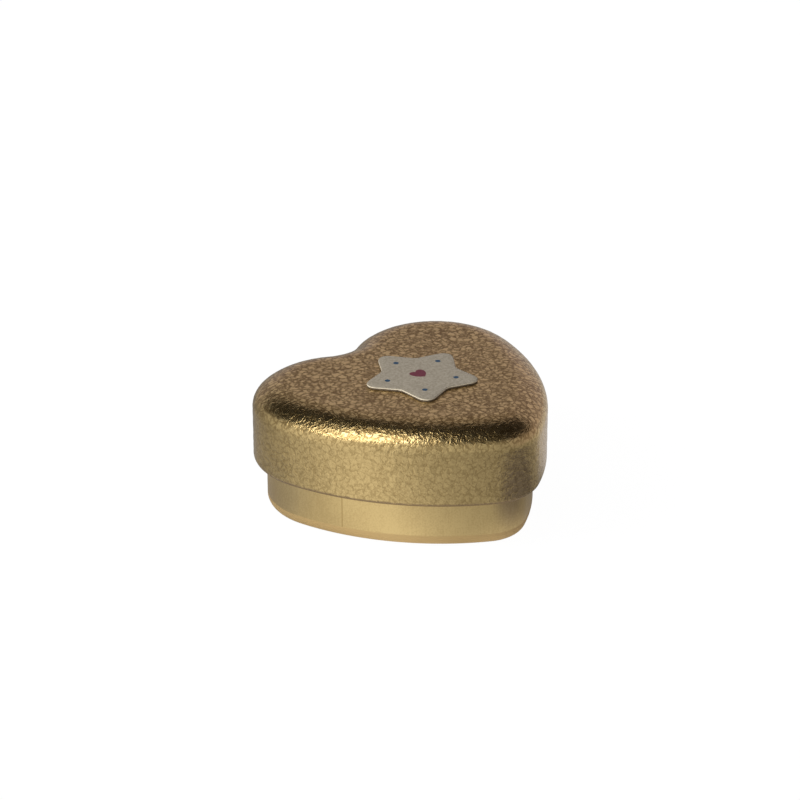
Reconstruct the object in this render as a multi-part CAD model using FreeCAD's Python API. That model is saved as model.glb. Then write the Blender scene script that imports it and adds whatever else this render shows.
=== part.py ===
# Heart-shaped slip-lid keepsake tin for baby teeth, pressed from tinplate
# Millimetres, +Z up. The origin is on the surface that the tin stands on, under the middle of the heart.
# The heart's point is towards -Y and its cleft towards +Y.
import FreeCAD, Part
import math
import os
from collections import namedtuple

Vector = FreeCAD.Vector
up = Vector(0, 0, 1)

# Heart outline at the outside of the lid: a point, two flanks, two lobes and a cleft, all tangent arcs
heart_width = 46.0
heart_length = 42.4
lobe_spacing = 19.5
point_radius = 8.6
flank_radius = 40.0
cleft_radius = 6.0

# Heights above the surface that the tin stands on
lid_top_height = 19.6
lid_edge_height = 7.45

# Tinplate
lid_sheet = 0.3
wall_sheet = 0.3
bottom_sheet = 0.3

# Lid: a flat top, a wide soft shoulder, a skirt, and a lower edge rolled inwards
shoulder_width = 6.0
shoulder_drop = 3.8
shoulder_edge_radius = 2.5
least_top_point_radius = 1.0
lid_curl_diameter = 1.7
lid_curl_turn = 250.0

# Slip fit of the lid on the base
slip_clearance = 0.3
seat_clearance = 0.1

# Star emblem, a thin struck plate stuck on the lid's flat top
star_points = 5
star_reach = 9.8
star_waist = 5.9
star_tip_radius = 1.6
star_waist_radius = 1.6
star_towards_cleft = 1.0
emblem_thickness = 0.45
emblem_edge_radius = 0.15

# Base wall: a strip bent round the heart and lapped on the left flank, with its top edge rolled inwards
wall_curl_diameter = 1.4
wall_curl_turn = 250.0
seam_from_point = 22.5
seam_groove_width = 0.08
seam_groove_depth = 0.06
seam_lap_width = 2.5
seam_lap_margin = 0.4

# The wall's foot: drawn in by a joggle to stand inside the bottom's rim, and tucked round its corner
joggle_height = 0.02
foot_clearance = 0.02
foot_tuck_turn = 50.0

# Base bottom: a shallow pressed pan, whose rim stands flush with the wall above it
pan_edge_radius = 1.5
pan_rim_height = 1.9
pan_foot_width = 0.9
pan_panel_rise = 0.5
pan_panel_slope = 0.5

# Worked out from the sizes above: places across the wall, measured outwards from the lid's outline
lobe_radius = (heart_width - lobe_spacing) / 2
base_offset = -(lid_curl_diameter + slip_clearance)
joggle_depth = bottom_sheet + foot_clearance

ArcSpan = namedtuple("ArcSpan", "centre radius start sweep")
Shoulder = namedtuple("Shoulder", "crown crown_radius edge edge_radius meeting")


def flat_angle(from_point, to_point):
    return math.atan2(to_point.y - from_point.y, to_point.x - from_point.x)


def heart_spans():
    # The outline's arcs in order, counter-clockwise from the point; the cleft's sweep is negative, as it is hollow
    lobe = Vector(lobe_spacing / 2, heart_length / 2 - lobe_radius, 0)
    point = Vector(0, point_radius - heart_length / 2, 0)
    to_lobe = flank_radius - lobe_radius
    to_point = flank_radius - point_radius
    apart = point.sub(lobe)
    along = (to_lobe ** 2 - to_point ** 2 + apart.Length ** 2) / (2 * apart.Length)
    across = math.sqrt(to_lobe ** 2 - along ** 2)
    ahead = Vector(apart).normalize()
    flank = lobe + ahead * along + Vector(ahead.y, -ahead.x, 0) * across
    cleft = Vector(0, lobe.y + math.sqrt((cleft_radius + lobe_radius) ** 2 - lobe.x ** 2), 0)

    at_point = flat_angle(flank, point)
    at_lobe = flat_angle(flank, lobe)
    at_cleft = flat_angle(lobe, cleft)
    cleft_start = at_cleft - math.pi

    def mirrored(span):
        centre = Vector(-span.centre.x, span.centre.y, 0)
        return ArcSpan(centre, span.radius, math.pi - span.start - span.sweep, span.sweep)

    right_flank = ArcSpan(flank, flank_radius, at_point, at_lobe - at_point)
    right_lobe = ArcSpan(lobe, lobe_radius, at_lobe, at_cleft - at_lobe)
    return {
        "point": ArcSpan(point, point_radius, -math.pi - at_point, 2 * at_point + math.pi),
        "right_flank": right_flank,
        "right_lobe": right_lobe,
        "cleft": ArcSpan(cleft, cleft_radius, cleft_start, -2 * cleft_start - math.pi),
        "left_lobe": mirrored(right_lobe),
        "left_flank": mirrored(right_flank),
    }


heart = heart_spans()


def arc_place(span, offset, turned, height=0.0):
    # The place on an arc after so many radians, moved out of the heart by offset
    radius = span.radius + (offset if span.sweep > 0 else -offset)
    angle = span.start + turned
    return span.centre + Vector(radius * math.cos(angle), radius * math.sin(angle), height)


def heart_plate(offset, low, high):
    edges = []
    for span in heart.values():
        places = [arc_place(span, offset, span.sweep * share, low) for share in (0.0, 0.5, 1.0)]
        edges.append(Part.Arc(*places).toShape())
    return Part.Face(Part.Wire(edges)).extrude(up * (high - low))


def heart_stretch(section, span, first, sweep):
    # A stretch of wall: a section drawn as (offset, 0, height), turned about the arc's own centre
    facing = span.start + first + (0.0 if span.sweep > 0 else math.pi)
    face = section.copy()
    face.Placement = FreeCAD.Placement(arc_place(span, 0.0, first), FreeCAD.Rotation(up, math.degrees(facing)))
    return face.revolve(span.centre, up, math.degrees(sweep))


def heart_band(section):
    stretches = [heart_stretch(section, span, 0.0, span.sweep) for span in heart.values()]
    return stretches[0].multiFuse(stretches[1:])


def one_solid(shape):
    joined = shape.removeSplitter()
    if len(joined.Solids) != 1 or not joined.isValid():
        raise ValueError("the piece isn't one valid solid")
    return joined.Solids[0]


def at(offset, height):
    return Vector(offset, 0, height)


def on_turn(centre, radius, degrees):
    angle = math.radians(degrees)
    return at(centre.x + radius * math.cos(angle), centre.z + radius * math.sin(angle))


def turn(centre, radius, first, last):
    return Part.Arc(*[on_turn(centre, radius, angle) for angle in (first, (first + last) / 2, last)]).toShape()


def joined_loop(edges):
    # A closed wire from edges in order, with straight lines drawn between their ends
    loop = []
    for edge, following in zip(edges, edges[1:] + edges[:1]):
        loop.append(edge)
        end, start = edge.lastVertex(True).Point, following.firstVertex(True).Point
        if end.distanceToPoint(start) > 1e-7:
            loop.append(Part.makeLine(end, start))
    return Part.Wire(loop)


def section_face(*edges):
    return Part.Face(joined_loop(edges))


def polygon_face(*places):
    return Part.Face(Part.makePolygon(list(places) + [places[0]]))


def lid_shoulder():
    # Two tangent arcs: a wide crown that leaves the flat top, and a tighter edge that runs into the skirt.
    # A tight heart point narrows the shoulder, so that the flat top still ends in a rounded point.
    width = min(shoulder_width, point_radius - least_top_point_radius)
    spread = width ** 2 + shoulder_drop ** 2 - 2 * width * shoulder_edge_radius
    crown_radius = spread / (2 * (shoulder_drop - shoulder_edge_radius))
    crown = at(-width, lid_top_height - crown_radius)
    edge = at(-shoulder_edge_radius, lid_top_height - shoulder_drop)
    meeting = math.degrees(math.atan2(edge.z - crown.z, edge.x - crown.x))
    return Shoulder(crown, crown_radius, edge, shoulder_edge_radius, meeting)


shoulder = lid_shoulder()


def lid_section():
    # Round the shoulder, down the skirt, round the rolled edge, and back along the inside
    curl_radius = lid_curl_diameter / 2
    curl = at(-curl_radius, lid_edge_height + curl_radius)
    return section_face(
        turn(shoulder.crown, shoulder.crown_radius, 90, shoulder.meeting),
        turn(shoulder.edge, shoulder.edge_radius, shoulder.meeting, 0),
        turn(curl, curl_radius, 0, -lid_curl_turn),
        turn(curl, curl_radius - lid_sheet, -lid_curl_turn, 0),
        turn(shoulder.edge, shoulder.edge_radius - lid_sheet, 0, shoulder.meeting),
        turn(shoulder.crown, shoulder.crown_radius - lid_sheet, shoulder.meeting, 90),
    )


def lid_shell():
    panel = heart_plate(shoulder.crown.x, lid_top_height - lid_sheet, lid_top_height)
    return one_solid(heart_band(lid_section()).fuse(panel))


def star_corner(step):
    reach = star_reach if step % 2 == 0 else star_waist
    angle = math.pi / 2 + step * math.pi / star_points
    return Vector(reach * math.cos(angle), reach * math.sin(angle) + star_towards_cleft, lid_top_height)


def star_face():
    # Tips and waists in turn, each rounded by an arc that touches the two straight sides beside it
    arcs = []
    for step in range(2 * star_points):
        corner = star_corner(step)
        before = (star_corner(step - 1) - corner).normalize()
        after = (star_corner(step + 1) - corner).normalize()
        inward = (before + after).normalize()
        half_angle = before.getAngle(after) / 2
        radius = star_tip_radius if step % 2 == 0 else star_waist_radius
        to_touch = radius / math.tan(half_angle)
        middle = corner + inward * (radius / math.sin(half_angle) - radius)
        arcs.append(Part.Arc(corner + before * to_touch, middle, corner + after * to_touch).toShape())
    return section_face(*arcs)


def lid_emblem():
    plate = star_face().extrude(up * emblem_thickness)
    middle_height = lid_top_height + emblem_thickness / 2
    top_edges = [edge for edge in plate.Edges if edge.BoundBox.ZMin > middle_height]
    return one_solid(plate.makeFillet(emblem_edge_radius, top_edges))


def wall_top_curl():
    # The centre of the wall's rolled edge, which carries the lid where its roll meets the inside of the lid
    curl_radius = wall_curl_diameter / 2
    clear = lid_sheet + seat_clearance + curl_radius
    offset = base_offset - curl_radius
    centre, reach = shoulder.crown, shoulder.crown_radius - clear
    if offset > centre.x + reach * math.cos(math.radians(shoulder.meeting)):
        centre, reach = shoulder.edge, shoulder.edge_radius - clear
    outward = max(0.0, offset - centre.x)
    return at(offset, centre.z + math.sqrt(reach ** 2 - outward ** 2))


def pan_corner():
    return at(base_offset - pan_edge_radius, pan_edge_radius)


def wall_joggle():
    # The joggle's lower and upper bend, on the outside of the wall
    low = at(base_offset - joggle_depth, pan_rim_height + foot_clearance)
    return low, at(base_offset, low.z + joggle_height)


def wall_section():
    # Up the tucked foot, out over the joggle, up the wall, round the rolled edge, and back down the inside
    corner = pan_corner()
    foot_radius = pan_edge_radius - joggle_depth
    low, high = wall_joggle()
    slant = math.hypot(joggle_depth, joggle_height)
    to_inside = at(-wall_sheet, wall_sheet * (slant - joggle_height) / joggle_depth)
    curl = wall_top_curl()
    curl_radius = wall_curl_diameter / 2
    return section_face(
        turn(corner, foot_radius, -foot_tuck_turn, 0),
        Part.makeLine(low, high),
        turn(curl, curl_radius, 0, wall_curl_turn),
        turn(curl, curl_radius - wall_sheet, wall_curl_turn, 0),
        Part.makeLine(high + to_inside, low + to_inside),
        turn(corner, foot_radius - wall_sheet, 0, -foot_tuck_turn),
    )


def seam_stretch(section, width):
    # A stretch of the left flank, from the lap seam towards the lobe
    flank = heart["left_flank"]
    radius = flank.radius + base_offset
    seam = flank.sweep - seam_from_point / radius
    return heart_stretch(section, flank, seam - width / radius, width / radius)


def base_wall():
    low = wall_joggle()[1].z
    high = wall_top_curl().z
    lap_outside = base_offset - wall_sheet
    lap_high = high - wall_curl_diameter / 2 - seam_lap_margin
    lap_low = low + wall_sheet + seam_lap_margin
    lap = polygon_face(
        at(lap_outside, lap_low),
        at(lap_outside, lap_high),
        at(lap_outside - wall_sheet, lap_high),
        at(lap_outside - wall_sheet, lap_low),
    )
    groove = polygon_face(
        at(base_offset - seam_groove_depth, low),
        at(base_offset - seam_groove_depth, high),
        at(base_offset + seam_groove_depth, high),
        at(base_offset + seam_groove_depth, low),
    )
    band = heart_band(wall_section()).fuse(seam_stretch(lap, seam_lap_width))
    return one_solid(band.cut(seam_stretch(groove, seam_groove_width)))


def base_bottom():
    # Down the rim, round the corner, along the foot and up to the panel, and back along the inside
    corner = pan_corner()
    foot_end = corner.x - pan_foot_width
    panel_edge = foot_end - pan_panel_slope
    thickness = at(0, bottom_sheet)
    under = [at(foot_end, 0), at(panel_edge, pan_panel_rise)]
    rim_outside = at(base_offset, pan_rim_height)
    section = section_face(
        turn(corner, pan_edge_radius, 0, -90),
        Part.makeLine(*under),
        Part.makeLine(under[1] + thickness, under[0] + thickness),
        turn(corner, pan_edge_radius - bottom_sheet, -90, 0),
        Part.makeLine(rim_outside - at(bottom_sheet, 0), rim_outside),
    )
    panel = heart_plate(panel_edge, pan_panel_rise, pan_panel_rise + bottom_sheet)
    return one_solid(heart_band(section).fuse(panel))


pieces = {
    "lid_shell": lid_shell(),
    "lid_emblem": lid_emblem(),
    "base_wall": base_wall(),
    "base_bottom": base_bottom(),
}

os.makedirs("parts", exist_ok=True)
for name, shape in pieces.items():
    shape.exportStep(os.path.join("parts", name + ".step"))
    print(name, "volume", round(shape.Volume, 2), "valid", shape.isValid())
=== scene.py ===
import math
import bmesh
import bpy
from mathutils import Matrix, Vector, noise
from mathutils.geometry import intersect_sphere_sphere_2d


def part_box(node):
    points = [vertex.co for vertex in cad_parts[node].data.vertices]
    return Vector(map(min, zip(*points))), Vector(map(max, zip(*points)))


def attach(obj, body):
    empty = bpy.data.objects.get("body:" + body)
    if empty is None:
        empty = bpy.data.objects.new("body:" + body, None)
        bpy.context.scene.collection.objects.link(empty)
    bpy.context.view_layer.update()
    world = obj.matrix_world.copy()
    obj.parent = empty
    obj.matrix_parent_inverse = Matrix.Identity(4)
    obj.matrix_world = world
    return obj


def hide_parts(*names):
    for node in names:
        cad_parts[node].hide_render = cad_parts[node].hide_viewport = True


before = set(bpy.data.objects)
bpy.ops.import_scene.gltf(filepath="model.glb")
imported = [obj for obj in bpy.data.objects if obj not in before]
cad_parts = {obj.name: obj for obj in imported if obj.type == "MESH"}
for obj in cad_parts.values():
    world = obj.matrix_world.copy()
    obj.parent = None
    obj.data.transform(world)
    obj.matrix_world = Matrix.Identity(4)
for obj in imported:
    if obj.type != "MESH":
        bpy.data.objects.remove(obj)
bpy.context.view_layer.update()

mm = 0.001
print("frame loaded:", ", ".join(sorted(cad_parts)))


# shader maths as plain expressions on sockets
class Flow:
    def __init__(self, finish, socket):
        self.finish = finish
        self.socket = socket

    def maths(self, operation, first, second):
        return self.finish.node("ShaderNodeMath", {"operation": operation}, {0: first, 1: second})

    def __add__(self, other):
        return self.maths("ADD", self, other)

    def __sub__(self, other):
        return self.maths("SUBTRACT", self, other)

    def __rsub__(self, other):
        return self.maths("SUBTRACT", other, self)

    def __mul__(self, other):
        return self.maths("MULTIPLY", self, other)

    def __truediv__(self, other):
        return self.maths("DIVIDE", self, other)

    def __lt__(self, other):
        return self.maths("LESS_THAN", self, other)

    __radd__ = __add__
    __rmul__ = __mul__


# the nodes of a material or of the world
class Finish:
    def __init__(self, holder):
        holder.use_nodes = True
        self.holder = holder
        self.tree = holder.node_tree

    def feed(self, socket, value):
        if isinstance(value, Flow):
            self.tree.links.new(value.socket, socket)
        else:
            socket.default_value = value

    # any node: its type, its settings, the values or links of its sockets and the output that is wanted
    def node(self, kind, settings=None, inputs=None, output=0):
        made = self.tree.nodes.new(kind)
        for name, value in (settings or {}).items():
            if name == "stops":
                self.setStops(made.color_ramp.elements, value)
            else:
                setattr(made, name, value)
        for name, value in (inputs or {}).items():
            self.feed(made.inputs[name], value)
        return Flow(self, made.outputs[output])

    def setStops(self, elements, stops):
        while len(elements) < len(stops):
            elements.new(1.0)
        for element, (place, shade) in zip(elements, stops):
            element.position = place
            element.color = shade

    def surface(self, inputs):
        shader = self.tree.nodes["Principled BSDF"]
        for name, value in inputs.items():
            self.feed(shader.inputs[name], value)

    # places on the piece in millimetres, times a factor on each axis
    def place(self, factors=(1, 1, 1)):
        spot = self.node("ShaderNodeTexCoord", output="Object")
        return self.vector("MULTIPLY", spot, [factor / mm for factor in factors])

    def axis(self, spot, name):
        return self.node("ShaderNodeSeparateXYZ", {}, {0: spot}, name)

    def vector(self, operation, *values, output=0):
        inputs = dict(enumerate(values))
        return self.node("ShaderNodeVectorMath", {"operation": operation}, inputs, output)

    def noise(self, spot, size, detail=2.0, output="Fac"):
        return self.node("ShaderNodeTexNoise", {},
                         {"Vector": spot, "Scale": 1 / size, "Detail": detail}, output)

    def cells(self, spot, size, feature, output):
        return self.node("ShaderNodeTexVoronoi", {"feature": feature},
                         {"Vector": spot, "Scale": 1 / size}, output)

    # 0 below low, 1 above high, smooth between
    def rise(self, value, low, high):
        return self.node("ShaderNodeMapRange", {"interpolation_type": "SMOOTHSTEP"},
                         {"Value": value, "From Min": low, "From Max": high})

    # 1 within a radius of an upright line, 0 outside it
    def column(self, x, y, middle, radius):
        acrossX = x - middle[0]
        acrossY = y - middle[1]
        return (acrossX * acrossX + acrossY * acrossY) < radius ** 2

    def blend(self, share, first, second):
        return self.node("ShaderNodeMix", {"data_type": "RGBA"},
                         {"Factor": share, 6: first, 7: second}, output=2)

    def bump(self, height, depth):
        return self.node("ShaderNodeBump", {}, {"Height": height, "Distance": depth, "Strength": 1.0})


# the heart's outline at the outside of the lid
heart = {
    "width": 46 * mm,
    "length": 42.4 * mm,
    "lobeSpacing": 19.5 * mm,
    "pointRadius": 8.6 * mm,
    "flankRadius": 40.0 * mm,
    "cleftRadius": 6.0 * mm,
    "leastSteps": 6,  # round any one arc
    "mergeDistance": 0.001 * mm,  # where arcs and halves meet
}


# centre, radius and sweep of each arc from the point, up the right flank, to the cleft
def heartArcs():
    lobeRadius = (heart["width"] - heart["lobeSpacing"]) / 2
    lobe = Vector((heart["lobeSpacing"] / 2, heart["length"] / 2 - lobeRadius))
    farLobe = Vector((-lobe.x, lobe.y))
    point = Vector((0, heart["pointRadius"] - heart["length"] / 2))
    flanks = intersect_sphere_sphere_2d(lobe, heart["flankRadius"] - lobeRadius,
                                        point, heart["flankRadius"] - heart["pointRadius"])
    flank = min(flanks, key=lambda place: place.x)
    reach = heart["cleftRadius"] + lobeRadius
    cleft = max(intersect_sphere_sphere_2d(lobe, reach, farLobe, reach), key=lambda place: place.y)
    joins = (point - flank, lobe - flank, cleft - lobe)
    atPoint, atLobe, atCleft = [math.atan2(way.y, way.x) for way in joins]
    return [
        (point, heart["pointRadius"], atPoint + math.pi / 2),
        (flank, heart["flankRadius"], atLobe - atPoint),
        (lobe, lobeRadius, atCleft - atLobe),
        (cleft, heart["cleftRadius"], math.pi / 2 - atCleft),
    ]


# a sheet's section is drawn as straight runs, round bends and sharp folds
def run(length, steps, grain=0.0):
    return length, 0, steps, grain


def bend(radius, turn, steps, grain=0.0):
    return radius, turn, steps, grain


def fold(turn):
    return 0, turn, 0, 0.0


# round the cut edge of the sheet to its other face
def cutEdge(sheet):
    return [fold(-90), run(sheet, 1), fold(-90)]


def only(parts, kind):
    return [part for part in parts if isinstance(part, kind)]


# draws a section from a place, facing out of the heart, and notes how deep its grain is
def drawSection(bm, start, moves):
    layer = bm.verts.layers.float.new("grain")
    last = bm.verts.new((start[0], 0, start[1]))
    heading = 0.0
    for size, turn, steps, grain in moves:
        ahead = Vector((math.cos(heading), 0, math.sin(heading)))
        if turn == 0:
            for step in range(steps):
                fresh = bmesh.ops.extrude_vert_indiv(bm, verts=[last])["verts"]
                bmesh.ops.translate(bm, vec=ahead * (size / steps), verts=fresh)
                last = fresh[0]
                last[layer] = grain
        else:
            heading += math.radians(turn)
            if size > 0:
                side = Vector((-ahead.z, 0, ahead.x)) * math.copysign(size, turn)
                last[layer] = grain
                spun = bmesh.ops.spin(bm, geom=[last], cent=last.co + side, axis=(0, -1, 0),
                                      angle=math.radians(turn), steps=steps)
                last = only(spun["geom_last"], bmesh.types.BMVert)[0]


# spins the section round the right half of the heart and mirrors it
def sweepHeart(bm, spacing):
    toPoint = Matrix.Translation((0, -heart["length"] / 2, 0)) @ Matrix.Rotation(-math.pi / 2, 4, "Z")
    bmesh.ops.transform(bm, matrix=toPoint, verts=bm.verts[:])
    section = bm.verts[:] + bm.edges[:]
    for centre, radius, sweep in heartArcs():
        steps = max(heart["leastSteps"], round(radius * abs(sweep) / spacing))
        spun = bmesh.ops.spin(bm, geom=section, cent=centre.to_3d(), axis=(0, 0, 1),
                              angle=sweep, steps=steps)
        section = spun["geom_last"]
    whole = bm.verts[:] + bm.edges[:] + bm.faces[:]
    bmesh.ops.mirror(bm, geom=whole, axis="X", merge_dist=heart["mergeDistance"])
    bmesh.ops.remove_doubles(bm, verts=bm.verts[:], dist=heart["mergeDistance"])


crispAngle = 1.0  # edges that fold more than this, in radians, are not shaded smooth


def finishPiece(bm, name, body, node, material):
    bmesh.ops.recalc_face_normals(bm, faces=bm.faces[:])
    for face in bm.faces:
        face.smooth = True
    for edge in bm.edges:
        edge.smooth = edge.calc_face_angle(0.0) < crispAngle
    mesh = bpy.data.meshes.new(name)
    bm.to_mesh(mesh)
    bm.free()
    mesh.materials.append(material)
    piece = bpy.data.objects.new(name, mesh)
    bpy.context.scene.collection.objects.link(piece)
    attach(piece, body)
    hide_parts(node)
    print(name, "built:", len(mesh.vertices), "vertices")


# the raised star on the lid
star = {
    "points": 5,
    "reach": 9.8 * mm,
    "waist": 5.9 * mm,
    "tipSetback": 2.34 * mm,
    "waistSetback": 0.57 * mm,
    "cornerSegments": 10,
    "towardsCleft": 1.0 * mm,
    "brimRadius": 0.15 * mm,
    "brimSegments": 4,
    "pillow": 0.8 * mm,
    "pillowRise": 0.03 * mm,
}


def buildStar(material):
    low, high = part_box("lid_emblem")
    bm = bmesh.new()
    bmesh.ops.create_circle(bm, cap_ends=True, segments=2 * star["points"], radius=star["reach"])
    corners = bm.verts[:]
    tips, waists = corners[0::2], corners[1::2]
    pull = star["waist"] / star["reach"]
    bmesh.ops.scale(bm, vec=(pull, pull, 1), verts=waists)
    for rounded, setback in ((tips, star["tipSetback"]), (waists, star["waistSetback"])):
        bmesh.ops.bevel(bm, geom=rounded, offset=setback, offset_type="OFFSET", affect="VERTICES",
                        segments=star["cornerSegments"], profile=0.5, material=-1)
    bmesh.ops.translate(bm, vec=(0, star["towardsCleft"], low.z), verts=bm.verts[:])
    made = bmesh.ops.extrude_face_region(bm, geom=bm.faces[:], use_keep_orig=True)["geom"]
    raised = only(made, bmesh.types.BMVert)
    bmesh.ops.translate(bm, vec=(0, 0, high.z - low.z - star["pillowRise"]), verts=raised)
    middle = (low.z + high.z) / 2
    brim = [edge for edge in bm.edges if min(vert.co.z for vert in edge.verts) > middle]
    bmesh.ops.bevel(bm, geom=brim, offset=star["brimRadius"], affect="EDGES",
                    segments=star["brimSegments"], profile=0.5, material=-1)
    top = max(bm.faces, key=lambda face: face.calc_center_median().z)
    bmesh.ops.inset_region(bm, faces=[top], thickness=star["pillow"], depth=star["pillowRise"])
    finishPiece(bm, "starEmblem", "lid", "lid_emblem", material)


# matt grey enamel of the star with its small marks, its bare rim, coloured pale partly as a painted
# highlight, and a painted shadow round its foot, in millimetres
emblemFinish = {
    "enamel": (0.268, 0.234, 0.173, 1),
    "speck": (0.352, 0.312, 0.24, 1),
    # the rim's pale cream is partly a painted highlight
    "rim": (0.78, 0.70, 0.55, 1),
    # painted shadow round the foot of the star's side
    "foot": (0.13, 0.10, 0.07, 1),
    "red": (0.12, 0.016, 0.03, 1),
    "blue": (0.012, 0.05, 0.095, 1),
    "speckSize": 0.35,
    "speckDetail": 3.0,
    "speckFrom": 0.36,
    "speckTo": 0.66,
    "speckHeight": 0.01,
    "rimBelowTop": 0.1,
    "paintedShadeBelowTop": 0.24,
    "dotReach": 5.4,
    "dotRadius": 0.42,
    "heartSize": 1.8,
    "heartFill": 0.36,
    "roughness": 0.5,
    "rimRoughness": 0.3,
}


def makeEmblemFinish():
    look = emblemFinish
    finish = Finish(bpy.data.materials.new("starEnamel"))
    spot = finish.place()
    x, y, height = [finish.axis(spot, name) for name in "XYZ"]
    y = y - star["towardsCleft"] / mm
    speckled = finish.noise(spot, look["speckSize"], look["speckDetail"])
    speck = finish.rise(speckled, look["speckFrom"], look["speckTo"])
    colour = finish.blend(speck, look["enamel"], look["speck"])
    # one dot in each arm of the star
    for arm in range(star["points"]):
        angle = math.pi / 2 + arm * 2 * math.pi / star["points"]
        middle = (look["dotReach"] * math.cos(angle), look["dotReach"] * math.sin(angle))
        dot = finish.column(x, y, middle, look["dotRadius"])
        colour = finish.blend(dot, colour, look["blue"])
    # a small heart in the middle
    u = x / look["heartSize"]
    v = y / look["heartSize"]
    ring = u * u + v * v - look["heartFill"]
    heartMark = (ring * ring * ring - u * u * v * v * v) < 0.0
    colour = finish.blend(heartMark, colour, look["red"])
    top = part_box("lid_emblem")[1].z / mm
    # bare rim down the star's side, painted pale partly to stand in for the highlight it catches
    bareRimAndHighlight = height < (top - look["rimBelowTop"])
    # painted shadow: dark band round the foot of the star, where it meets the lid
    foot = height < (top - look["paintedShadeBelowTop"])
    finish.surface({
        "Base Color": finish.blend(foot, finish.blend(bareRimAndHighlight, colour, look["rim"]), look["foot"]),
        "Roughness": look["roughness"] - bareRimAndHighlight * (look["roughness"] - look["rimRoughness"]),
        "Normal": finish.bump(speck, look["speckHeight"] * mm),
    })
    return finish.holder


# the lid's sheet: flat top, two-arc shoulder, skirt and rolled edge
lid = {
    "sheet": 0.3 * mm,
    "shoulderWidth": 6.0 * mm,
    "shoulderDrop": 3.8 * mm,
    "edgeRadius": 2.5 * mm,
    "curlRadius": 0.85 * mm,
    "curlTurn": 250,
    "spacing": 0.27 * mm,
    "curlSteps": 14,
    "innerCurlSteps": 10,
    "innerSkirtSteps": 4,
    "innerEdgeSteps": 5,
    "innerCrownSteps": 8,
    "ringCount": 48,
    "innermostRing": 0.22,
    "reliefCell": 1.3 * mm,
    "reliefDepth": 0.018 * mm,
    "grooveWidth": 0.5,  # as a share of a cell
    "topGrain": 1.0,
    "skirtGrain": 1.8,
}


def buildLid(material):
    low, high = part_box("lid_shell")
    width, drop, edgeRadius = lid["shoulderWidth"], lid["shoulderDrop"], lid["edgeRadius"]
    crownRadius = (width ** 2 + drop ** 2 - 2 * width * edgeRadius) / (2 * (drop - edgeRadius))
    crownTurn = math.degrees(math.atan2(width - edgeRadius, crownRadius - drop))
    edgeTurn = 90 - crownTurn
    skirt = high.z - low.z - drop - lid["curlRadius"]
    sheet, curl, curlTurn = lid["sheet"], lid["curlRadius"], lid["curlTurn"]
    fine, topGrain = lid["spacing"], lid["topGrain"]
    outside = [
        bend(crownRadius, -crownTurn, round(crownRadius * math.radians(crownTurn) / fine), topGrain),
        bend(edgeRadius, -edgeTurn, round(edgeRadius * math.radians(edgeTurn) / fine), topGrain),
        run(skirt, round(skirt / fine), lid["skirtGrain"]),
        bend(curl, -curlTurn, lid["curlSteps"]),
    ]
    inside = [
        bend(curl - sheet, curlTurn, lid["innerCurlSteps"]),
        run(skirt, lid["innerSkirtSteps"]),
        bend(edgeRadius - sheet, edgeTurn, lid["innerEdgeSteps"]),
        bend(crownRadius - sheet, crownTurn, lid["innerCrownSteps"]),
    ]
    bm = bmesh.new()
    drawSection(bm, (-width, high.z), outside + cutEdge(sheet) + inside)
    sweepHeart(bm, fine)

    rims = [edge for edge in bm.edges if edge.is_boundary]
    ceiling = [edge for edge in rims if edge.verts[0].co.z < high.z - sheet / 2]
    bmesh.ops.edgeloop_fill(bm, edges=ceiling)
    # the flat top closes in rings round the middle of the star
    loop = [edge for edge in rims if edge.verts[0].co.z > high.z - sheet / 2]
    toStar = Matrix.Translation((0, -star["towardsCleft"], 0))
    grain = bm.verts.layers.float["grain"]
    count = lid["ringCount"]
    sizes = [1 - (1 - lid["innermostRing"]) * ring / count for ring in range(count + 1)]
    for size, smaller in zip(sizes, sizes[1:]):
        made = bmesh.ops.extrude_edge_only(bm, edges=loop)["geom"]
        inner = only(made, bmesh.types.BMVert)
        bmesh.ops.scale(bm, vec=(smaller / size, smaller / size, 1), space=toStar, verts=inner)
        for vert in inner:
            vert[grain] = topGrain
        loop = [edge for edge in only(made, bmesh.types.BMEdge) if edge.is_boundary]
    bmesh.ops.edgeloop_fill(bm, edges=loop)

    # pressed-in relief of the grain
    bmesh.ops.recalc_face_normals(bm, faces=bm.faces[:])
    bm.normal_update()
    for vert in bm.verts:
        if vert[grain] > 0:
            near = noise.voronoi(vert.co / lid["reliefCell"])[0]
            groove = max(0.0, 1 - (near[1] - near[0]) / lid["grooveWidth"])
            vert.co -= vert.normal * vert[grain] * lid["reliefDepth"] * groove
    finishPiece(bm, "grainedLid", "lid", "lid_shell", material)


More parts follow.
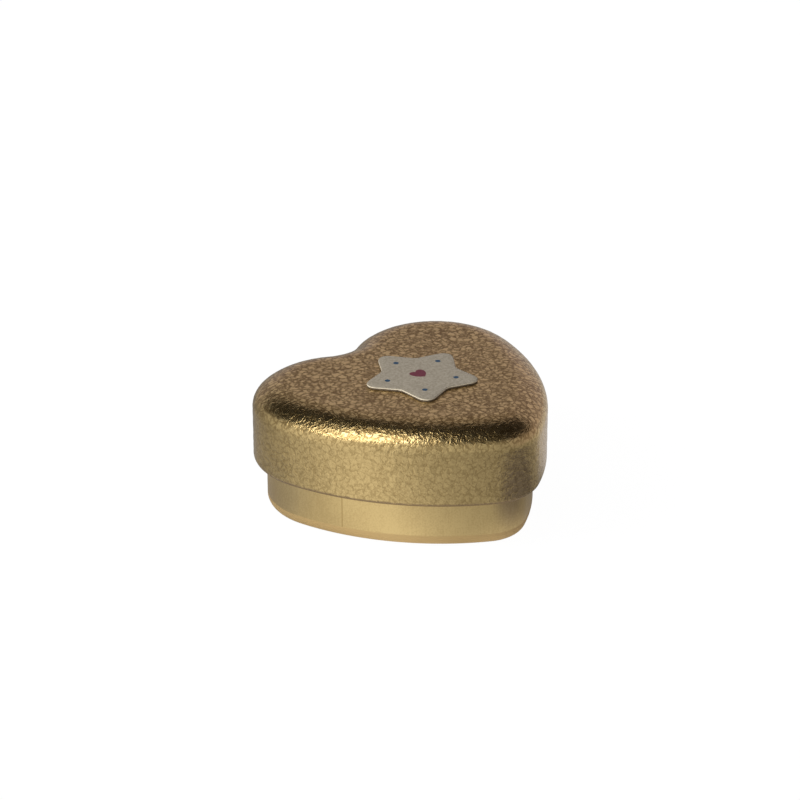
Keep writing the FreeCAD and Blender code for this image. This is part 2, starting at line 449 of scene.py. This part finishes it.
# grained gold of the lid: light flakes parted by brown gaps on the top, fine flecks down the side,
# with sizes and heights in millimetres
lidFinish = {
    "gold": (0.84, 0.625, 0.285, 1),
    "gap": (0.29, 0.185, 0.065, 1),
    "grazing": (1, 0.97, 0.95, 1),
    "wanderSize": 0.7,
    "wander": 1.0,
    "mottleSize": 0.55,
    "fleckSize": 0.25,
    "cloudSize": 2.6,
    "cloudContrast": 0.25,
    # flakes of the top
    "flakeSize": 1.0,
    "gapWidth": 0.27,
    "gapRagged": 0.4,
    "flakeLight": 0.55,
    "flakeSpread": 0.6,
    "flakeMottle": 0.6,
    "flakeFleck": 0.9,
    "flakeMean": 0.62,
    "topShare": 0.715,
    "topContrast": 0.95,
    # cracks and flecks of the side
    "crackWidth": 0.17,
    "crackRagged": 0.25,
    "crackLight": 0.6,
    "fleckMottle": 0.45,
    "fleckFrom": 0.41,
    "fleckTo": 0.59,
    "fleckLight": 0.5,
    "sideMean": 0.7,
    "sideShare": 0.69,
    "sideContrast": 0.42,
    # heights over which the side turns into the top, and the shoulder into the flat
    "sideTop": 15.8,
    "topFrom": 18.8,
    "flatFrom": 19.35,
    "flatTo": 19.55,
    # relief
    "gapHeight": 0.012,
    "mottleHeight": 0.035,
    "fleckHeight": 0.022,
    "sideRelief": 0.5,
    # gloss
    "roughness": 0.175,
    "gapRoughness": 0.1,
    "flatRoughness": 0.12,
    # painted shade: dull dark brown round the bottom of the rolled edge, where it lies in shade, by
    # height above it
    "edge": (0.33, 0.225, 0.11, 1),
    "edgeFrom": 0.455,
    "edgeTo": 0.845,
    "edgeRagged": 0.65,
    "edgeDull": 0.35,
    "edgeRoughness": 0.3,
}


def makeLidFinish():
    look = lidFinish
    finish = Finish(bpy.data.materials.new("grainedGold"))
    spot = finish.place()
    height = finish.axis(spot, "Z")
    drift = finish.noise(spot, look["wanderSize"], output="Color")
    warped = finish.vector("MULTIPLY_ADD", drift, [look["wander"]] * 3, spot)
    mottle = finish.noise(warped, look["mottleSize"])
    fleck = finish.noise(spot, look["fleckSize"])
    cloud = finish.noise(spot, look["cloudSize"])
    uneven = mottle - 0.5  # 0.5 is the mean of a noise
    # each flake has its own shade, and its edge is ragged
    parting = finish.cells(warped, look["flakeSize"], "DISTANCE_TO_EDGE", "Distance")
    tint = finish.cells(warped, look["flakeSize"], "F1", "Color")
    shade = finish.node("ShaderNodeSeparateColor", {}, {0: tint})
    flake = finish.rise(parting + uneven * look["gapRagged"], 0.0, look["gapWidth"])
    flaked = flake * (shade * look["flakeSpread"] + look["flakeLight"]) - look["flakeMean"]
    flaked = flaked + uneven * look["flakeMottle"] + (fleck - 0.5) * look["flakeFleck"]
    # thin cracks and fine flecks down the side
    crack = finish.rise(parting + uneven * look["crackRagged"], 0.0, look["crackWidth"])
    fine = mottle * look["fleckMottle"] + fleck * (1 - look["fleckMottle"])
    flecked = finish.rise(fine, look["fleckFrom"], look["fleckTo"])
    flecked = crack * look["crackLight"] + flecked * look["fleckLight"] - look["sideMean"]
    onTop = finish.rise(height, look["sideTop"], look["topFrom"])
    onSide = 1 - onTop
    topGold = (flaked * look["topContrast"] + look["topShare"]) * onTop
    sideGold = (flecked * look["sideContrast"] + look["sideShare"]) * onSide
    share = topGold + sideGold + (cloud - 0.5) * look["cloudContrast"]
    gold = finish.blend(share, look["gap"], look["gold"])
    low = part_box("lid_shell")[0].z / mm
    # painted shade along the bottom of the rolled edge, ragged with the grain
    edge = 1 - finish.rise(height + uneven * look["edgeRagged"],
                           low + look["edgeFrom"], low + look["edgeTo"])
    grain = mottle * look["mottleHeight"] + fleck * look["fleckHeight"]
    gaps = (flake * onTop + crack * onSide) * look["gapHeight"]
    relief = gaps + grain * (onSide * look["sideRelief"] + 1)
    onFlat = finish.rise(height, look["flatFrom"], look["flatTo"])
    roughness = look["roughness"] + (1 - flake) * onTop * look["gapRoughness"]
    roughness = roughness + onFlat * look["flatRoughness"] + edge * look["edgeRoughness"]
    finish.surface({
        "Base Color": finish.blend(edge, gold, look["edge"]),
        "Metallic": 1 - edge * look["edgeDull"],
        "Specular Tint": look["grazing"],
        "Roughness": roughness,
        "Normal": finish.bump(relief, mm),
    })
    return finish.holder


# the pressed bottom pan: recessed panel, foot ring, round corner and a rim that meets the wall
pan = {
    "sheet": 0.3 * mm,
    "edgeRadius": 1.5 * mm,
    "footWidth": 0.9 * mm,
    "panelRise": 0.5 * mm,
    "panelSlope": 0.5 * mm,
    "rimOverlap": 0.045 * mm,
    "spacing": 0.35 * mm,
    "cornerSteps": 12,
    "innerCornerSteps": 8,
    "runSteps": 2,
}


def buildPan(material):
    low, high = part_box("base_bottom")
    offset = (high.x - low.x - heart["width"]) / 2
    sheet, radius, foot = pan["sheet"], pan["edgeRadius"], pan["footWidth"]
    rise, across, steps = pan["panelRise"], pan["panelSlope"], pan["runSteps"]
    slope = math.degrees(math.atan2(rise, across))
    rim = high.z - low.z + pan["rimOverlap"] - radius
    panel = [run(across, steps)]
    stepDown = [fold(-slope), run(math.hypot(rise, across), steps), fold(slope)]
    inner = [run(foot, steps), bend(radius - sheet, 90, pan["innerCornerSteps"]), run(rim, steps)]
    outer = [run(rim, steps), bend(radius, -90, pan["cornerSteps"]), run(foot, steps)]
    bm = bmesh.new()
    start = (offset - radius - foot - 2 * across, low.z + rise + sheet)
    drawSection(bm, start, panel + stepDown + inner + cutEdge(sheet) + outer + stepDown + panel)
    sweepHeart(bm, pan["spacing"])
    rims = [edge for edge in bm.edges if edge.is_boundary]
    upper = [edge for edge in rims if edge.verts[0].co.z > low.z + rise + sheet / 2]
    lower = [edge for edge in rims if edge.verts[0].co.z < low.z + rise + sheet / 2]
    for loop in (upper, lower):
        bmesh.ops.edgeloop_fill(bm, edges=loop)
    finishPiece(bm, "satinPan", "base", "base_bottom", material)


# smooth satin gold of the base, duller down its pan and painted warmer and darker there as a reflection
# of the floor, with sizes and heights in millimetres
satinFinish = {
    "gold": (0.84, 0.625, 0.28, 1),
    "warm": (0.725, 0.525, 0.23, 1),
    "grazing": (1, 0.97, 0.95, 1),
    # clouds, fine scuffs and lines drawn down the wall
    "cloudSize": 5.0,
    "cloudDetail": 3.0,
    "cloudShare": 0.35,
    "scuffSize": 0.25,
    "scuffShare": 0.45,
    "drawnFactors": (4, 4, 0.4),
    "drawnSize": 1.0,
    "drawnDetail": 3.0,
    "drawnShare": 0.2,
    "warmFrom": 0.38,
    "warmTo": 0.62,
    "scuffHeight": 0.0036,
    "drawnHeight": 0.0024,
    "roughness": 0.33,
    "cloudRoughness": 0.12,
    "scuffRoughness": 0.1,
    # round corner of the pan, duller, with a painted reflection of the floor: warmer, darker and less
    # metallic
    "foot": (0.69, 0.49, 0.22, 1),
    "footFrom": 1.95,
    "footTo": 1.75,
    "footMetal": 0.75,
    "footRoughness": 0.6,
    # lap seam of the wall
    "seam": (0.67, 0.49, 0.215, 1),
    "seamFromPoint": 22.54,
    "seamRadius": 0.09,
}


# where the wall's lap seam stands on the left flank, in millimetres
def seamPlace():
    point, flank = heartArcs()[:2]
    towards = point[0] - flank[0]
    low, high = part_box("base_wall")
    radius = (flank[1] + (high.x - low.x - heart["width"]) / 2) / mm
    angle = math.atan2(towards.y, towards.x) + satinFinish["seamFromPoint"] / radius
    right = flank[0] / mm + Vector((math.cos(angle), math.sin(angle))) * radius
    return -right.x, right.y


def makeSatinFinish():
    look = satinFinish
    finish = Finish(bpy.data.materials.new("satinGold"))
    spot = finish.place()
    x, y, height = [finish.axis(spot, name) for name in "XYZ"]
    cloud = finish.noise(spot, look["cloudSize"], look["cloudDetail"])
    scuff = finish.noise(spot, look["scuffSize"])
    drawn = finish.noise(finish.place(look["drawnFactors"]), look["drawnSize"], look["drawnDetail"])
    streaks = cloud * look["cloudShare"] + scuff * look["scuffShare"] + drawn * look["drawnShare"]
    warmth = finish.rise(streaks, look["warmFrom"], look["warmTo"])
    gold = finish.blend(warmth, look["gold"], look["warm"])
    seam = finish.column(x, y, seamPlace(), look["seamRadius"])
    gold = finish.blend(seam, gold, look["seam"])
    # painted reflection: the pan's round corner is warmer, darker and less metallic below these heights
    foot = 1 - finish.rise(height, look["footTo"], look["footFrom"])
    roughness = look["roughness"] + (cloud - 0.5) * look["cloudRoughness"]
    roughness = roughness + (scuff - 0.5) * look["scuffRoughness"]
    finish.surface({
        "Base Color": finish.blend(foot, gold, look["foot"]),
        "Metallic": 1 - foot * (1 - look["footMetal"]),
        "Specular Tint": look["grazing"],
        "Roughness": roughness + foot * (look["footRoughness"] - look["roughness"]),
        "Normal": finish.bump(scuff * look["scuffHeight"] + drawn * look["drawnHeight"], mm),
    })
    return finish.holder


# camera where the photograph was taken from
view = {
    "azimuth": -43.18,
    "elevation": 26.33,
    "distance": 425.6 * mm,
    "lens": 127.0,
    "sensor": 36.0,
    "nearest": 0.01,
    "farthest": 20.0,
    "aimRight": -3.76 * mm,
    "aimUp": 5.72 * mm,
    "aimHeight": 9.77 * mm,
}


def direction(azimuth, elevation):
    turn, rise = math.radians(azimuth), math.radians(elevation)
    return Vector((math.sin(turn) * math.cos(rise), -math.cos(turn) * math.cos(rise), math.sin(rise)))


def placeCamera():
    back = direction(view["azimuth"], view["elevation"])
    right = direction(view["azimuth"] + 90, 0)
    upward = back.cross(right)
    middle = Vector((0, 0, view["aimHeight"]))
    eye = middle + back * view["distance"]
    aim = middle + right * view["aimRight"] + upward * view["aimUp"]
    data = bpy.data.cameras.new("photoCamera")
    data.lens = view["lens"]
    data.sensor_width = view["sensor"]
    data.clip_start = view["nearest"]
    data.clip_end = view["farthest"]
    camera = bpy.data.objects.new("photoCamera", data)
    camera.location = eye
    camera.rotation_mode = "QUATERNION"
    camera.rotation_quaternion = (aim - eye).to_track_quat("-Z", "Y")
    bpy.context.scene.collection.objects.link(camera)
    bpy.context.scene.camera = camera


def grey(level):
    return level, level, level, 1


# white floor, a room that is bright on the left and low behind, dark above its walls, and two lamps
studio = {
    "floorSize": 4.0,
    "floorDrop": 0.02 * mm,
    "floorShade": 0.82,
    "floorRoughness": 0.9,
    "cameraWhite": 0.98,
    "mirroredGlow": 0.94,
    # painted glow of the floor, seen only by metal, about its own middle, from the far side round to
    # its bright side
    "floorMiddle": (14, -6, 0),
    "floorSide": -84,
    "floorStops": [
        (0.0, (0.6, 0.6, 0.63, 1)),
        (0.1, (0.43, 0.43, 0.44, 1)),
        (0.22, grey(0.28)),
        (0.46, grey(0.225)),
        (0.62, grey(0.25)),
        (0.86, grey(0.335)),
        (0.94, grey(0.425)),
        (0.98, grey(0.58)),
        (1.0, grey(0.82)),
    ],
    # painted shadows on the floor's glow in front and beside the left lobe, and a painted pool of light
    # close to the heart's point
    "paintedLightPatches": [
        {"middle": (9.5, -39, 0), "full": 11, "reach": 20, "shade": (0.42, 0.41, 0.6, 1)},
        {"middle": (-28, 17, 0), "full": 6, "reach": 15, "shade": (0.82, 0.85, 1.0, 1)},
        {"middle": (1, -20, 0), "full": 3, "reach": 10, "shade": (1.6, 1.6, 1.65, 1)},
    ],
    # brightness of the walls, from the far side round to their bright side
    "wallSide": -84,
    "wallStops": [
        (0.0, (0.415, 0.363, 0.4, 1)),
        (0.5, (0.34, 0.335, 0.34, 1)),
        (0.75, grey(0.41)),
        (0.93, grey(0.6)),
        (1.0, grey(0.92)),
    ],
    # height of the walls from behind the tin round to the camera, as the sine of their elevation
    "topStops": [
        (0.0, grey(0.84)),
        (0.07, grey(0.57)),
        (0.13, grey(0.42)),
        (0.5, grey(0.72)),
        (1.0, grey(0.92)),
    ],
    "wallFade": 0.12,
    "aboveWalls": 0.055,
    # bright strip low behind the tin, fading upwards and to its sides
    "stripShade": (0.62, 0.545, 0.585, 1),
    "stripShare": 0.25,
    "stripFull": 0.15,
    "stripTop": 0.54,
    "stripFrom": 0.8,
    "stripTo": 0.95,
}

softboxes = [
    {"name": "topSoftbox", "azimuth": -97, "elevation": 62, "distance": 0.6,
     "size": (0.21, 0.38), "power": 0.79, "mirrored": True},
    {"name": "leftKey", "azimuth": -115, "elevation": 40, "distance": 1.0,
     "size": (0.3, 0.3), "power": 6.9, "mirrored": False},
]


# how far a direction faces an azimuth, 0 away from it and 1 towards it
def facing(finish, way, azimuth):
    level = finish.vector("NORMALIZE", finish.vector("MULTIPLY", way, (1, 1, 0)))
    return finish.vector("DOT_PRODUCT", level, direction(azimuth, 0), output="Value") * 0.5 + 0.5


def ramp(finish, stops, value):
    return finish.node("ShaderNodeValToRGB", {"stops": stops}, {0: value})


def buildFloor():
    bm = bmesh.new()
    bmesh.ops.create_grid(bm, x_segments=1, y_segments=1, size=studio["floorSize"] / 2)
    bmesh.ops.translate(bm, vec=(0, 0, -studio["floorDrop"]), verts=bm.verts[:])
    mesh = bpy.data.meshes.new("floor")
    bm.to_mesh(mesh)
    bm.free()
    floor = bpy.data.objects.new("floor", mesh)
    bpy.context.scene.collection.objects.link(floor)

    # white to the camera, and to metal mostly a painted glow that stands in for the room's light, with
    # painted shadows and a painted pool of light
    finish = Finish(bpy.data.materials.new("whiteFloor"))
    camera, glossy, through = [finish.node("ShaderNodeLightPath", output=name)
                               for name in ("Is Camera Ray", "Is Glossy Ray", "Is Transmission Ray")]
    seen = camera * studio["cameraWhite"]
    mirrored = (glossy + through) * studio["mirroredGlow"]
    spot = finish.place()
    outward = finish.vector("SUBTRACT", spot, studio["floorMiddle"])
    glow = ramp(finish, studio["floorStops"], facing(finish, outward, studio["floorSide"]))
    for patch in studio["paintedLightPatches"]:
        away = finish.vector("DISTANCE", spot, patch["middle"], output="Value")
        beyond = finish.rise(away, patch["full"], patch["reach"])
        glow = finish.vector("MULTIPLY", glow, finish.blend(beyond, patch["shade"], grey(1)))
    finish.surface({
        "Base Color": (1 - seen - mirrored) * studio["floorShade"],
        "Roughness": studio["floorRoughness"],
        "Emission Color": finish.blend(mirrored, seen, glow),
        "Emission Strength": 1.0,
    })
    mesh.materials.append(finish.holder)


def buildRoom():
    world = bpy.data.worlds.new("studioRoom")
    bpy.context.scene.world = world
    room = Finish(world)
    way = room.node("ShaderNodeTexCoord", output="Generated")
    height = room.axis(way, "Z")
    towardsCamera = facing(room, way, view["azimuth"])
    low = 1 - room.rise(height, studio["stripFull"], studio["stripTop"])
    behind = room.rise(1 - towardsCamera, studio["stripFrom"], studio["stripTo"])
    walls = ramp(room, studio["wallStops"], facing(room, way, studio["wallSide"]))
    walls = room.blend(low * behind * studio["stripShare"], walls, studio["stripShade"])
    wallTop = ramp(room, studio["topStops"], towardsCamera)
    above = room.rise(height, wallTop - studio["wallFade"], wallTop + studio["wallFade"])
    light = 1 - above * (1 - studio["aboveWalls"])
    room.feed(room.tree.nodes["Background"].inputs["Color"], room.vector("MULTIPLY", walls, light))


def hangSoftboxes():
    for box in softboxes:
        lamp = bpy.data.lights.new(box["name"], "AREA")
        lamp.shape = "RECTANGLE"
        lamp.size, lamp.size_y = box["size"]
        lamp.energy = box["power"]
        holder = bpy.data.objects.new(box["name"], lamp)
        way = direction(box["azimuth"], box["elevation"])
        holder.location = way * box["distance"]
        holder.visible_glossy = box["mirrored"]
        holder.rotation_mode = "QUATERNION"
        holder.rotation_quaternion = (-way).to_track_quat("-Z", "Y")
        bpy.context.scene.collection.objects.link(holder)


buildLid(makeLidFinish())
buildStar(makeEmblemFinish())
satinGold = makeSatinFinish()
buildPan(satinGold)
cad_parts["base_wall"].material_slots[0].material = satinGold
print("base finished")
placeCamera()
buildFloor()
buildRoom()
hangSoftboxes()
bpy.context.scene.view_settings.view_transform = "Standard"
print("studio ready")
